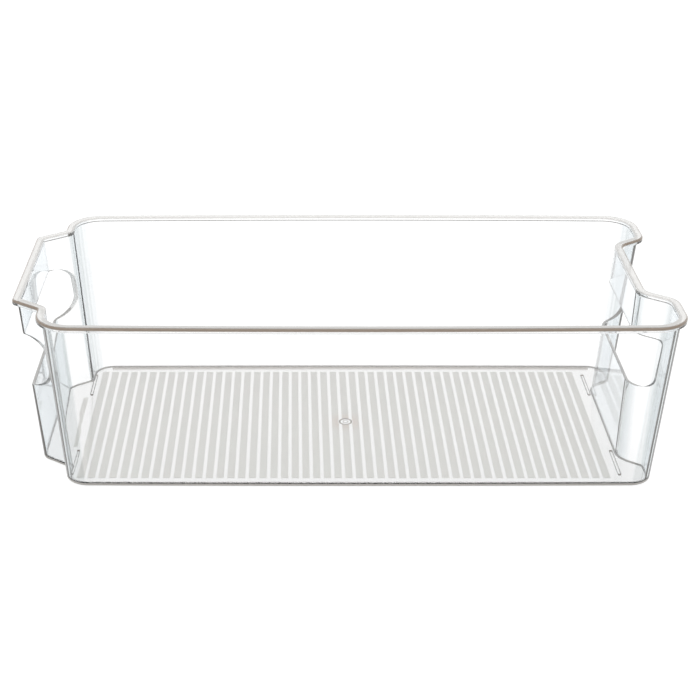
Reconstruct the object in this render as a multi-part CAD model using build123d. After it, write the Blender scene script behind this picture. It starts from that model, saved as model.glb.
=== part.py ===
# A clear storage bin for a refrigerator shelf, made as a single injection moulding.
# The moulding is divided here into its named regions, which meet face to face.
# Millimetres. X runs along the bin, Y across it and Z up. The origin is on the shelf,
# under the middle of the bounding box. The grip juts out at -X, the recess is at +X.
import os
from math import cos, radians, tan

from build123d import *

# Overall sizes, over the rim
body_length = 353.6          # from end wall to end wall, without the grip
body_width = 182.6           # at mid length, where the long walls bow out most
bin_height = 102.0

# Plastic
wall = 1.8
floor_thickness = 1.8
rim_height = 3.0
rim_lip = 3.0                # how far the rim stands out past the wall below it
rim_outer_round = 1.1
rim_inner_round = 0.6
rim_under_round = 0.4
floor_edge_round = 1.0

# Draft angles, from the vertical
wall_draft = 4.2             # of the long walls and the cheeks of the grip
end_draft = 4.7
recess_panel_draft = 3.2
recess_cheek_draft = 6.4

# Bow of the long walls at mid length
bow_at_floor = 0.7
bow_at_rim = 2.0

# Grip at the -X end, at the rim
grip_reach = 16.2            # how far it juts out past the end wall
grip_shoulder = 29.2         # rim left on each side of it
grip_mouth = body_width - 2 * grip_shoulder
cheek_splay = 37.0           # slant of the cheeks of grip and recess, from the X axis

# Recess at the +X end, at the rim
recess_depth = 16.0
recess_shoulder = 42.8       # rim left on each side of it
recess_mouth = body_width - 2 * recess_shoulder

# Corner radii of the outer skin in plan, at the floor and at the rim
body_corner_floor = 13.5
body_corner_rim = 17.4
grip_corner_floor = 7.5
grip_corner_rim = 2.0
grip_joint_floor = 2.0
grip_joint_rim = 5.8
recess_corner_floor = 13.5
recess_corner_rim = 12.0
mouth_corner_floor = 5.0
mouth_corner_rim = 9.6

# Hand holes, as seen along X, placed from the rim's top and from the width at the mouth
hole_drop = 53.5             # from the rim's top to the lower edge of both holes
grip_apron_height = 21.4
grip_hole_shoulder = 5.1     # how much narrower the hole is than the grip's mouth, each side
grip_hole_bottom_round = 14.0
grip_hole_top_round = 8.5
recess_apron_height = 24.0
recess_hole_overlap = 4.7    # how far the hole runs past the recess's mouth, each side
recess_hole_bottom_round = 7.0
recess_hole_top_round = 3.5
hole_bottom = bin_height - hole_drop
grip_hole_top = bin_height - grip_apron_height
grip_hole_width = grip_mouth - 2 * grip_hole_shoulder
recess_hole_top = bin_height - recess_apron_height
recess_hole_width = recess_mouth + 2 * recess_hole_overlap

# Feet, under the floor near its corners
foot_height = 0.8
foot_length = 30.0
foot_width = 2.0
foot_shoulder = 39.3         # from the edge of the rim to the middle of a foot
foot_offset = body_width / 2 - foot_shoulder
grip_foot_inset = 0.6        # from the inner face of the end wall to the middle of a foot
recess_foot_inset = 1.8      # from the inner face of the recess to the middle of a foot

# Frosted bars on the underside of the floor
bar_pitch = 6.09
bar_width = 4.1
bar_relief = 0.15
bar_end_margin = 3.5         # least clear floor between the last bar and an end
bar_side_margin = 6.5        # clear floor between a bar's end and a long wall
short_bar_width = 2.9        # a single bar between the feet on the grip's side
short_bar_margin = 4.0       # clear floor between its end and a foot
short_bar_offset = 2.4       # from the inner face of the end wall out to its middle

# Mark left by the injection gate, in the middle of one of the frosted bars
gate_offset = 1.4            # how far it lies to the right of the clear floor's middle
gate_radius = 4.0
gate_relief = 0.3
gate_clearance = 0.5

# How far cutting solids run past what they cut
overrun = 1.0
cut_margin = 20.0

# Heights and places worked out from the sizes above
underside = foot_height
floor_top = underside + floor_thickness
rim_bottom = bin_height - rim_height
body_middle = grip_reach / 2


def skin_inset(draft, z):
    """How far the outer skin lies inside the edge of the rim at height z."""
    return rim_lip + (rim_bottom - z) * tan(radians(draft))


def between(low, high, z):
    """A value that changes evenly from the floor to the rim."""
    return low + (high - low) * (z - underside) / (rim_bottom - underside)


def plan_corners(z, depth):
    """Sharp corners of the plan for Y > 0, at a depth inside the outer skin."""
    inset = skin_inset(wall_draft, z) + depth
    end_inset = skin_inset(end_draft, z) + depth
    panel_inset = skin_inset(recess_panel_draft, z) + depth
    cheek_inset = skin_inset(recess_cheek_draft, z) + depth
    slope = tan(radians(cheek_splay))
    slant = 1 / cos(radians(cheek_splay))
    half_length = body_length / 2 - end_inset
    half_width = body_width / 2 - bow_at_rim - inset
    mouth_y = recess_mouth / 2 - end_inset * slope + cheek_inset * slant
    panel_y = recess_mouth / 2 - (recess_depth + panel_inset) * slope + cheek_inset * slant
    joint_y = grip_mouth / 2 + end_inset * slope - inset * slant
    grip_y = joint_y - grip_reach * slope
    return {
        "recess": (body_middle + body_length / 2 - recess_depth - panel_inset, panel_y),
        "mouth": (body_middle + half_length, mouth_y),
        "right": (body_middle + half_length, half_width),
        "left": (body_middle - half_length, half_width),
        "joint": (body_middle - half_length, joint_y),
        "grip": (body_middle - half_length - grip_reach, grip_y),
    }


def corner_radii(z, depth):
    """Radii of the same corners: hollow ones grow with the depth, the others shrink."""
    return {
        "recess": between(recess_corner_floor, recess_corner_rim, z) + depth,
        "mouth": between(mouth_corner_floor, mouth_corner_rim, z) - depth,
        "right": between(body_corner_floor, body_corner_rim, z) - depth,
        "left": between(body_corner_floor, body_corner_rim, z) - depth,
        "joint": between(grip_joint_floor, grip_joint_rim, z) + depth,
        "grip": between(grip_corner_floor, grip_corner_rim, z) - depth,
    }


def plan(z, depth):
    """The plan outline as a face at height z, at a depth inside the outer skin."""
    corners = plan_corners(z, depth)
    back = list(corners.values())
    front = [(x, -y) for x, y in reversed(back)]
    (right_x, half_width), (left_x, _) = corners["right"], corners["left"]
    bowed = ((left_x + right_x) / 2, half_width + between(bow_at_floor, bow_at_rim, z))
    face = make_face([
        Polyline(*back[:3]),
        ThreePointArc(back[2], bowed, back[3]),
        Polyline(*back[3:], *front[:3]),
        ThreePointArc(front[2], (bowed[0], -bowed[1]), front[3]),
        Polyline(*front[3:], back[0]),
    ])
    for name, radius in corner_radii(z, depth).items():
        x, y = corners[name]
        near = [v for v in face.vertices() if abs(v.X - x) + abs(abs(v.Y) - y) < 0.01]
        face = fillet(near, radius)
    return Pos(0, 0, z) * face


def drafted(low, high, depth):
    """The solid inside the drafted skin at a depth, between two heights."""
    return loft([plan(low, depth), plan(high, depth)], ruled=True)


def past_corner(name, z, depth):
    """Distance from the mid plane to where a slanted corner's rounding starts and ends."""
    middle = plan_corners(z, depth)[name][1]
    reach = corner_radii(z, depth)[name] * tan(radians(90 - cheek_splay) / 2)
    return middle - reach, middle + reach


def block(x_range, y_range, z_range):
    """A box between the given limits."""
    limits = (x_range, y_range, z_range)
    middle = [(low + high) / 2 for low, high in limits]
    return Pos(*middle) * Box(*[high - low for low, high in limits])


def hand_hole(width, top, bottom_round, top_round, x_range):
    """A cutter along X for a hand hole with rounded corners."""
    profile = Rectangle(width, top - hole_bottom)
    profile = fillet(profile.vertices().group_by(Axis.Y)[0], bottom_round)
    profile = fillet(profile.vertices().group_by(Axis.Y)[-1], top_round)
    start, end = x_range
    plane = Plane.YZ.offset(start) * Pos(0, (top + hole_bottom) / 2)
    return extrude(plane * profile, end - start)


# The drafted wall ring, with its two hand holes
ring = drafted(floor_top, rim_bottom, 0) - drafted(floor_top - overrun, rim_bottom + overrun, wall)
left_end = body_middle - body_length / 2 - grip_reach
right_end = body_middle + body_length / 2
grip_zone = (left_end - cut_margin, left_end + 2 * grip_reach)
recess_zone = (right_end - 2 * recess_depth, right_end + cut_margin)
ring -= hand_hole(grip_hole_width, grip_hole_top, grip_hole_bottom_round,
                  grip_hole_top_round, grip_zone)
ring -= hand_hole(recess_hole_width, recess_hole_top, recess_hole_bottom_round,
                  recess_hole_top_round, recess_zone)

# The rim, a flange that stands out all round
rim = extrude(plan(rim_bottom, -rim_lip), rim_height) - extrude(plan(rim_bottom, wall), rim_height)
top_face = rim.faces().sort_by(Axis.Z)[-1]
rim = fillet(top_face.outer_wire().edges(), rim_outer_round)
top_face = rim.faces().sort_by(Axis.Z)[-1]
rim = fillet(top_face.inner_wires()[0].edges(), rim_inner_round)
bottom_face = rim.faces().sort_by(Axis.Z)[0]
rim = fillet(bottom_face.outer_wire().edges(), rim_under_round)

# Planes where one region ends and the next begins
long_end = body_length / 2 - rim_lip - body_corner_rim
left_cut = body_middle - long_end
right_cut = body_middle + long_end
joint_cut = past_corner("joint", rim_bottom, wall)[1]
mouth_cut = past_corner("mouth", underside, 0)[1]
grip_cut = past_corner("grip", underside, 0)[0]
recess_low_cut = past_corner("recess", hole_bottom, wall)[0]
recess_high_cut = past_corner("recess", rim_bottom, wall)[0]
grip_middle = (grip_hole_top + hole_bottom) / 2
recess_middle = (recess_hole_top + hole_bottom) / 2
x_left = (left_end - cut_margin, left_cut)
x_long = (left_cut, right_cut)
x_right = (right_cut, right_end + cut_margin)
x_recess = recess_zone
y_edge = body_width / 2 + cut_margin
z_all = (-cut_margin, bin_height + cut_margin)

parts = {}
for side, sign in (("front", -1), ("back", 1)):
    def across(near, far):
        """Limits in Y on this side, from two distances from the mid plane."""
        return tuple(sorted((sign * near, sign * far)))

    long_side = block(x_long, across(mouth_cut, y_edge), z_all)
    left_corner = block(x_left, across(joint_cut, y_edge), z_all)
    right_corner = block(x_right, across(mouth_cut, y_edge), z_all)
    parts[f"{side}_wall"] = ring & long_side
    parts[f"corner_{side}_left"] = ring & left_corner
    parts[f"corner_{side}_right"] = ring & right_corner
    parts[f"rim_{side}"] = rim & long_side
    parts[f"rim_corner_{side}_left"] = rim & left_corner
    parts[f"rim_corner_{side}_right"] = rim & right_corner
    parts[f"grip_cheek_{side}"] = ring & block(x_left, across(grip_cut, joint_cut), z_all)
    low = block(x_recess, across(recess_low_cut, mouth_cut), (-cut_margin, recess_middle))
    high = block(x_recess, across(recess_high_cut, mouth_cut), (recess_middle, z_all[1]))
    parts[f"recess_cheek_{side}"] = ring & (low + high)

grip_span = (-grip_cut, grip_cut)
parts["grip_lower_panel"] = ring & block(x_left, grip_span, (-cut_margin, grip_middle))
parts["grip_apron"] = ring & block(x_left, grip_span, (grip_middle, z_all[1]))
parts["recess_lower_panel"] = ring & block(
    x_recess, (-recess_low_cut, recess_low_cut), (-cut_margin, recess_middle))
parts["recess_apron"] = ring & block(
    x_recess, (-recess_high_cut, recess_high_cut), (recess_middle, z_all[1]))
parts["rim_grip"] = rim & block(x_left, (-joint_cut, joint_cut), z_all)
parts["rim_recess"] = rim & block(x_recess, (-mouth_cut, mouth_cut), z_all)

# The floor, with a rounded lower edge
floor_plate = drafted(underside, floor_top, 0)
floor_edge = floor_plate.faces().sort_by(Axis.Z)[0].outer_wire().edges()
parts["floor_plate"] = fillet(floor_edge, floor_edge_round)

# Ends of the clear floor inside the walls
inner = plan_corners(underside, wall)
field_left = inner["grip"][0] + grip_reach
field_right = inner["recess"][0]
gate_place = (field_left + field_right) / 2 + gate_offset

# Four feet, low ridges with round ends
foot = extrude(SlotOverall(foot_length, foot_width, rotation=90), foot_height)
parts["feet"] = Compound(children=[
    Pos(x, y, 0) * foot
    for x in (field_left + grip_foot_inset, field_right - recess_foot_inset)
    for y in (-foot_offset, foot_offset)
])

# Mark of the injection gate, a low disc under the floor
gate = Pos(gate_place, 0, underside - gate_relief) * Cylinder(
    gate_radius, gate_relief, align=(Align.CENTER, Align.CENTER, Align.MIN))
parts["gate_mark"] = gate

# Frosted bars, one under the gate mark and as many on each side as the clear floor takes
bar_margin = bar_end_margin + bar_width / 2
bars_left = int((gate_place - field_left - bar_margin) / bar_pitch)
bars_right = int((field_right - gate_place - bar_margin) / bar_pitch)
bar_length = 2 * (inner["left"][1] - bar_side_margin)
gate_room = Pos(gate_place, 0, underside) * Cylinder(gate_radius + gate_clearance, foot_height)


def frosted_bar(x, width, length):
    """A flat bar on the underside of the floor, along Y."""
    z_range = (underside - bar_relief, underside)
    return block((x - width / 2, x + width / 2), (-length / 2, length / 2), z_range)


bars = []
for index in range(-bars_left, bars_right + 1):
    bar = frosted_bar(gate_place + index * bar_pitch, bar_width, bar_length)
    bars += (bar - gate_room).solids()
short_bar_length = 2 * (foot_offset - foot_length / 2 - short_bar_margin)
bars.append(frosted_bar(field_left - short_bar_offset, short_bar_width, short_bar_length))
parts["frosted_bars"] = Compound(children=bars)

os.makedirs("parts", exist_ok=True)
for name, shape in parts.items():
    export_step(shape, f"parts/{name}.step")
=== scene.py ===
"""Looks of a clear storage bin for a refrigerator shelf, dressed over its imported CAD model.

Metres. X runs along the bin, Y across it and Z up. The grip juts out at -X, the recess is at +X.
The bin is one injection moulding, so its skin is modelled as one smooth surface, which is then
shared out to the named regions of the CAD model. No inner wall shows where two regions meet.
"""

import logging
from collections import Counter
from dataclasses import dataclass, field
from enum import Enum
from itertools import combinations
from math import acos, atan2, cos, pi, radians, sin, sqrt, tan
from typing import Callable, Iterable, Optional, Sequence, Union

import bmesh
import bpy
import numpy as np
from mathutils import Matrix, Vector
from mathutils.geometry import delaunay_2d_cdt


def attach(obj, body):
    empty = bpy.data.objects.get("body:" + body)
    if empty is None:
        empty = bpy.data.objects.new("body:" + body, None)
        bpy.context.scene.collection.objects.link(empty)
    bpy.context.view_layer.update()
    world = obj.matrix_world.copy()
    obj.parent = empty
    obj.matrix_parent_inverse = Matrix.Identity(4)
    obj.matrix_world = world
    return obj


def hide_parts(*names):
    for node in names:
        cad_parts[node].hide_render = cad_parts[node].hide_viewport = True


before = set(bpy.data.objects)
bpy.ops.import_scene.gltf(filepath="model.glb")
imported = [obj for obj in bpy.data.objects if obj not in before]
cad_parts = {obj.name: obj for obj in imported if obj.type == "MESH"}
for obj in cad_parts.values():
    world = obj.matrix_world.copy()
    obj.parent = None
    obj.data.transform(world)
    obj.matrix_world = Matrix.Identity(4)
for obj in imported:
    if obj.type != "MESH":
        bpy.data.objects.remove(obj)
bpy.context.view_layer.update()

logging.basicConfig(level=logging.INFO, format="%(message)s")
log = logging.getLogger("bin")

MM = 0.001
CDT_SCALE = 1000.0
CDT_EPSILON = 1e-5
ON_PLANE = 2e-6
SMALLEST_FACE = 1e-24
UPWARD = 0.5
CLOSING = 1

Shade = Union[float, np.ndarray]


class Slot(Enum):
    """The record's material slots."""

    CLEAR = "clear_plastic"
    FROSTED = "frosted_plastic"


class End(Enum):
    """The two ends of the bin that hold a hand hole."""

    GRIP = "grip"
    RECESS = "recess"


@dataclass(frozen=True)
class Sizes:
    """Sizes of the moulding, the same as those that drive the CAD model."""

    body_length: float = 353.6 * MM
    body_width: float = 182.6 * MM
    bin_height: float = 102.0 * MM
    wall: float = 1.8 * MM
    floor_thickness: float = 1.8 * MM
    rim_height: float = 3.0 * MM
    rim_lip: float = 3.0 * MM
    wall_draft: float = 4.2
    end_draft: float = 4.7
    recess_panel_draft: float = 3.2
    recess_cheek_draft: float = 6.4
    bow_at_floor: float = 0.7 * MM
    bow_at_rim: float = 2.0 * MM
    grip_reach: float = 16.2 * MM
    grip_shoulder: float = 29.2 * MM
    cheek_splay: float = 37.0
    recess_depth: float = 16.0 * MM
    recess_shoulder: float = 42.8 * MM
    foot_height: float = 0.8 * MM
    body_corner: tuple[float, float] = (13.5 * MM, 17.4 * MM)
    grip_corner: tuple[float, float] = (7.5 * MM, 2.0 * MM)
    grip_joint: tuple[float, float] = (2.0 * MM, 5.8 * MM)
    recess_corner: tuple[float, float] = (13.5 * MM, 12.0 * MM)
    mouth_corner: tuple[float, float] = (5.0 * MM, 9.6 * MM)
    hole_drop: float = 53.5 * MM
    grip_apron_height: float = 21.4 * MM
    grip_hole_shoulder: float = 5.1 * MM
    grip_hole_rounds: tuple[float, float] = (14.0 * MM, 8.5 * MM)
    recess_apron_height: float = 24.0 * MM
    recess_hole_overlap: float = 4.7 * MM
    recess_hole_rounds: tuple[float, float] = (7.0 * MM, 3.5 * MM)

    @property
    def underside(self) -> float:
        """Height of the underside of the floor."""
        return self.foot_height

    @property
    def floor_top(self) -> float:
        """Height of the floor's upper face."""
        return self.foot_height + self.floor_thickness

    @property
    def rim_bottom(self) -> float:
        """Height of the rim's underside."""
        return self.bin_height - self.rim_height

    @property
    def body_middle(self) -> float:
        """X of the middle of the body, which leaves the grip out."""
        return self.grip_reach / 2

    @property
    def grip_mouth(self) -> float:
        """Width of the grip where it leaves the end wall."""
        return self.body_width - 2 * self.grip_shoulder

    @property
    def recess_mouth(self) -> float:
        """Width of the recess where it enters the end wall."""
        return self.body_width - 2 * self.recess_shoulder

    def skin_inset(self, draft: float, z: float) -> float:
        """How far the outer skin lies inside the edge of the rim at height z."""
        return self.rim_lip + (self.rim_bottom - z) * tan(radians(draft))

    def between(self, pair: tuple[float, float], z: float) -> float:
        """A value that changes evenly from the floor to the rim."""
        low, high = pair
        return low + (high - low) * (z - self.underside) / (self.rim_bottom - self.underside)


SIZES = Sizes()


@dataclass(frozen=True)
class Ring:
    """A row of points with their unit normals and three shades.

    The corner shade weights painted shade on rounded upright corners, edge weights painted
    warm grey shade lines on moulded edges, and blur marks edges that only scatter light.
    """

    points: np.ndarray
    normals: np.ndarray
    bend: Shade = 0.0
    edge: Shade = 0.0
    blur: Shade = 0.0


@dataclass
class Outline:
    """The plan outline of the moulding, sampled alike at every height and depth.

    The samples run anticlockwise from the middle of the recess, so that one index is one
    straight line up the drafted wall.
    """

    sizes: Sizes = SIZES
    small_steps: int = 16
    corner_steps: int = 16
    bow_steps: int = 16
    # Painted corner shade: its weight on the inner skin, on the four small corners, and its made-up
    # streaks.
    inner_corner_shade: float = 0.3
    corner_shade_strengths: tuple[float, float, float, float] = (1.0, 1.2, 1.7, 1.8)
    shade_streak: float = 0.5
    shade_streak_step: float = 2.4

    def corners(self, z: float, depth: float) -> dict[str, tuple[float, float]]:
        """Sharp corners of the plan for Y > 0.

        Args:
            z: Height, no higher than the underside of the rim.
            depth: How deep inside the outer skin the outline lies.

        Returns:
            X and Y of each named corner.
        """
        s = self.sizes
        inset = s.skin_inset(s.wall_draft, z) + depth
        end_inset = s.skin_inset(s.end_draft, z) + depth
        panel_inset = s.skin_inset(s.recess_panel_draft, z) + depth
        cheek_inset = s.skin_inset(s.recess_cheek_draft, z) + depth
        slope = tan(radians(s.cheek_splay))
        slant = 1 / cos(radians(s.cheek_splay))
        half_length = s.body_length / 2 - end_inset
        half_width = s.body_width / 2 - s.bow_at_rim - inset
        mouth_y = s.recess_mouth / 2 - end_inset * slope + cheek_inset * slant
        panel_y = s.recess_mouth / 2 - (s.recess_depth + panel_inset) * slope + cheek_inset * slant
        joint_y = s.grip_mouth / 2 + end_inset * slope - inset * slant
        grip_y = joint_y - s.grip_reach * slope
        middle = s.body_middle
        return {
            "recess": (middle + s.body_length / 2 - s.recess_depth - panel_inset, panel_y),
            "mouth": (middle + half_length, mouth_y),
            "right": (middle + half_length, half_width),
            "left": (middle - half_length, half_width),
            "joint": (middle - half_length, joint_y),
            "grip": (middle - half_length - s.grip_reach, grip_y),
        }

    def past_corner(self, name: str, z: float, depth: float) -> tuple[float, float]:
        """Distance from the mid plane to where a slanted corner's rounding starts and ends."""
        middle = self.corners(z, depth)[name][1]
        reach = self.radii(z, depth)[name] * tan(radians(90 - self.sizes.cheek_splay) / 2)
        return middle - reach, middle + reach

    def long_cuts(self) -> tuple[float, float]:
        """X where the long walls end and the corners begin."""
        s = self.sizes
        long_end = s.body_length / 2 - s.rim_lip - s.body_corner[1]
        return s.body_middle - long_end, s.body_middle + long_end

    def radii(self, z: float, depth: float) -> dict[str, float]:
        """Radii of the same corners: hollow ones grow with the depth, the others shrink."""
        s = self.sizes
        return {
            "recess": s.between(s.recess_corner, z) + depth,
            "mouth": s.between(s.mouth_corner, z) - depth,
            "body": s.between(s.body_corner, z) - depth,
            "joint": s.between(s.grip_joint, z) + depth,
            "grip": s.between(s.grip_corner, z) - depth,
        }

    @staticmethod
    def rounded(
        before: Sequence[float],
        corner: Sequence[float],
        after: Sequence[float],
        radius: float,
        steps: int,
    ) -> tuple[np.ndarray, np.ndarray]:
        """A rounded corner between two straight runs of an anticlockwise outline.

        Args:
            before: A point on the run that enters the corner.
            corner: The sharp corner.
            after: A point on the run that leaves it.
            radius: Radius of the rounding.
            steps: Number of its facets.

        Returns:
            Points of the rounding and their outward normals.
        """
        before, corner, after = (np.array(p, float) for p in (before, corner, after))
        enters = (corner - before) / np.linalg.norm(corner - before)
        leaves = (after - corner) / np.linalg.norm(after - corner)
        turn = atan2(enters[0] * leaves[1] - enters[1] * leaves[0], enters @ leaves)
        side = 1.0 if turn > 0 else -1.0
        start = corner - enters * radius * tan(abs(turn) / 2)
        centre = start + side * radius * np.array([-enters[1], enters[0]])
        angles = atan2(*(start - centre)[::-1]) + np.linspace(0, turn, steps + 1)
        spokes = np.stack([np.cos(angles), np.sin(angles)], 1)
        return centre + radius * spokes, side * spokes

    def plan(self, z: float, depth: float) -> tuple[np.ndarray, np.ndarray]:
        """The sampled outline.

        Args:
            z: Height; above the underside of the rim the outline no longer changes.
            depth: How deep inside the outer skin it lies.

        Returns:
            Points and outward normals, one row for each sample.
        """
        z = min(z, self.sizes.rim_bottom)
        c, r = self.corners(z, depth), self.radii(z, depth)
        middle = self.sizes.body_middle
        bow = self.sizes.between((self.sizes.bow_at_floor, self.sizes.bow_at_rim), z)
        half = c["right"][0] - middle
        bow_radius = (half * half + bow * bow) / (2 * bow)
        bow_centre = c["right"][1] + bow - bow_radius
        corner_x = half - r["body"]
        reach = sqrt((bow_radius - r["body"]) ** 2 - corner_x**2)
        corner_y, swing = bow_centre + reach, atan2(reach, corner_x)

        def arc(
            centre: tuple[float, float], radius: float, first: float, last: float, steps: int
        ) -> tuple[np.ndarray, np.ndarray]:
            """Points and normals along a convex arc."""
            angles = np.linspace(first, last, steps + 1)
            spokes = np.stack([np.cos(angles), np.sin(angles)], 1)
            return np.array(centre) + radius * spokes, spokes

        long_wall = arc((middle, bow_centre), bow_radius, swing, pi - swing, self.bow_steps)
        runs = [
            (np.array([[c["recess"][0], 0.0]]), np.array([[1.0, 0.0]])),
            self.rounded((c["recess"][0], 0), c["recess"], c["mouth"], r["recess"], self.small_steps),
            self.rounded(c["recess"], c["mouth"], c["right"], r["mouth"], self.small_steps),
            arc((middle + corner_x, corner_y), r["body"], 0, swing, self.corner_steps),
            tuple(a[1:-1] for a in long_wall),
            arc((middle - corner_x, corner_y), r["body"], pi - swing, pi, self.corner_steps),
            self.rounded(c["left"], c["joint"], c["grip"], r["joint"], self.small_steps),
            self.rounded(c["joint"], c["grip"], (c["grip"][0], 0), r["grip"], self.small_steps),
            (np.array([[c["grip"][0], 0.0]]), np.array([[-1.0, 0.0]])),
        ]
        points, normals = (np.concatenate([run[i] for run in runs]) for i in (0, 1))
        mirror = np.array([1.0, -1.0])
        return (
            np.concatenate([points, points[-2:0:-1] * mirror]),
            np.concatenate([normals, normals[-2:0:-1] * mirror]),
        )

    def zone(self, end: End) -> np.ndarray:
        """Indices of the samples that face an end, in order of growing Y."""
        count = len(self.plan(0.0, 0.0)[0])
        small = self.small_steps + 1
        if end is End.RECESS:
            return np.arange(-2 * small, 2 * small + 1) % count
        return (count // 2 + np.arange(2 * small, -2 * small - 1, -1)) % count

    def corner_shades(self) -> np.ndarray:
        """How strongly painted shade darkens a rounded corner at each sample: 0 at its ends and
        elsewhere.

        The four main corners have upright streaks in their painted shade, which are made up to
        break their flat tone.
        """
        recess, mouth, joint, grip = (
            [0.0, *[strength] * (self.small_steps - 1), 0.0] for strength in self.corner_shade_strengths)
        shade_streaks = [1.0 + self.shade_streak * sin(self.shade_streak_step * i) for i in range(1, self.corner_steps)]
        corner = [0.0, *shade_streaks, 0.0]
        bow = [0.0] * (self.bow_steps - 1)
        half = np.array([0.0, *recess, *mouth, *corner, *bow, *corner[::-1], *joint, *grip, 0.0])
        return np.concatenate([half, half[-2:0:-1]])

    def wall_ring(self, z: float, depth: float, facing: float) -> Ring:
        """A ring of the drafted wall.

        Args:
            z: Height of the ring.
            depth: How deep inside the outer skin it lies.
            facing: 1 for a skin that faces out, -1 for one that faces in.

        Returns:
            The ring, whose rounded corners carry more painted shade on the skin that faces out.
        """
        points, normals = self.plan(z, depth)
        low, high = self.sizes.underside, self.sizes.rim_bottom
        climb = (self.plan(high, depth)[0] - self.plan(low, depth)[0]) / (high - low)
        lean = -(normals * climb).sum(1)
        space = facing * np.column_stack([normals, lean])
        space /= np.linalg.norm(space, axis=1)[:, None]
        bend = self.corner_shades() * (1.0 if facing > 0 else self.inner_corner_shade)
        return Ring(np.column_stack([points, np.full(len(points), z)]), space, bend)

    def turned_ring(
        self, z: float, depth: float, lean: float, edge: float = 0.0, blur: float = 0.0
    ) -> Ring:
        """A ring of a rounded or level surface.

        Args:
            z: Height of the ring.
            depth: How deep inside the outer skin it lies.
            lean: Angle of its normals from outward: 90 is up, -90 down and 180 inward.
            edge: How much painted warm grey shade it carries, which shows as a line.
            blur: How much it scatters light.

        Returns:
            The ring.
        """
        points, normals = self.plan(z, depth)
        space = np.column_stack([
            normals * cos(radians(lean)),
            np.full(len(points), sin(radians(lean))),
        ])
        return Ring(np.column_stack([points, np.full(len(points), z)]), space, 0.0, edge, blur)


@dataclass
class Skin:
    """Faces that carry their own smooth normals and shades."""

    rows: list[np.ndarray] = field(default_factory=list)
    faces: list[tuple[int, ...]] = field(default_factory=list)
    count: int = 0

    def add(self, ring: Ring, faces: Iterable[Sequence[int]]) -> None:
        """Adds faces, whose indices count from the first point of the given ones."""
        size = len(ring.points)
        shades = np.column_stack([np.broadcast_to(s, size) for s in (ring.bend, ring.edge, ring.blur)])
        self.faces += [tuple(int(i) + self.count for i in face) for face in faces]
        self.rows.append(np.column_stack([ring.points, ring.normals, shades]).astype(float))
        self.count += size

    def add_rings(self, rings: Sequence[Ring], keep: Optional[np.ndarray] = None) -> None:
        """Adds the bands between closed rings of equal length.

        Args:
            rings: The rings in order.
            keep: For each sample, whether the band from it to the next one is made.
        """
        size = len(rings[0].points)
        columns = [j for j in range(size) if keep is None or keep[j]]
        start = self.count
        for ring in rings:
            self.add(ring, [])
        for k in range(len(rings) - 1):
            low, high = start + k * size, start + (k + 1) * size
            for j in columns:
                after = (j + 1) % size
                self.faces.append((low + j, low + after, high + after, high + j))

    def solid(self) -> bmesh.types.BMesh:
        """The skin as a mesh without doubles, whose faces all point the way of their normals.

        Returns:
            A mesh with its smooth normals and its shades in layers of its corners.
        """
        rows = np.concatenate(self.rows)
        mesh = bmesh.new()
        mesh.verts.layers.float_vector.new("smooth")
        # The corner and edge layers weight painted shade; blur weights a pale, dull finish.
        names = ("bend", "edge", "blur")
        for name in names:
            mesh.verts.layers.float.new(name)
        smooth = mesh.verts.layers.float_vector["smooth"]
        shades = [mesh.verts.layers.float[name] for name in names]
        made = []
        for row in rows:
            vertex = mesh.verts.new(row[:3])
            vertex[smooth] = row[3:6]
            for layer, value in zip(shades, row[6:]):
                vertex[layer] = value
            made.append(vertex)
        for face in self.faces:
            corners = rows[list(face), :3]
            around = np.cross(corners[1] - corners[0], corners[2] - corners[0])
            if len(face) == 4:
                around = np.cross(corners[2] - corners[0], corners[3] - corners[1])
            if around @ around < SMALLEST_FACE:
                continue
            if around @ rows[list(face), 3:6].sum(0) < 0:
                face = face[::-1]
            mesh.faces.new([made[i] for i in face])
        bmesh.ops.delete(mesh, geom=[v for v in mesh.verts if not v.link_faces], context="VERTS")
        bmesh.ops.remove_doubles(mesh, verts=mesh.verts, dist=ON_PLANE)
        return mesh


def inside(points: np.ndarray, loop: np.ndarray) -> np.ndarray:
    """Whether each flat point lies inside a closed loop.

    Args:
        points: Points, one row each.
        loop: Corners of the loop in order.

    Returns:
        One truth value for each point.
    """
    x, y = points[:, :1], points[:, 1:]
    x0, y0 = loop[:, 0], loop[:, 1]
    x1, y1 = np.roll(x0, -1), np.roll(y0, -1)
    spans = (y0 > y) != (y1 > y)
    rise = np.where(y1 == y0, 1.0, y1 - y0)
    crosses = x < x0 + (y - y0) / rise * (x1 - x0)
    return (spans & crosses).sum(1) % 2 == 1


def triangulate(
    points: np.ndarray, edges: Sequence[tuple[int, int]], keep: Callable[[np.ndarray], np.ndarray]
) -> tuple[np.ndarray, list[tuple[int, ...]]]:
    """Flat triangles that respect given edges.

    Args:
        points: Flat points, one row each.
        edges: Pairs of indices that stay edges.
        keep: Tells, from the middles of the triangles, which ones are kept.

    Returns:
        Points, in which new ones may be added, and triangles.
    """
    flat = [Vector(p) for p in points * CDT_SCALE]
    verts, _, faces, *_ = delaunay_2d_cdt(flat, list(edges), [], 0, CDT_EPSILON)
    made = np.array([v[:] for v in verts]) / CDT_SCALE
    middles = np.array([made[list(f)].mean(0) for f in faces])
    return made, [tuple(f) for f, kept in zip(faces, keep(middles)) if kept]


def loop_edges(start: int, count: int) -> list[tuple[int, int]]:
    """Edges of a closed loop of points that follow each other."""
    return [(start + i, start + (i + 1) % count) for i in range(count)]


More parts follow.
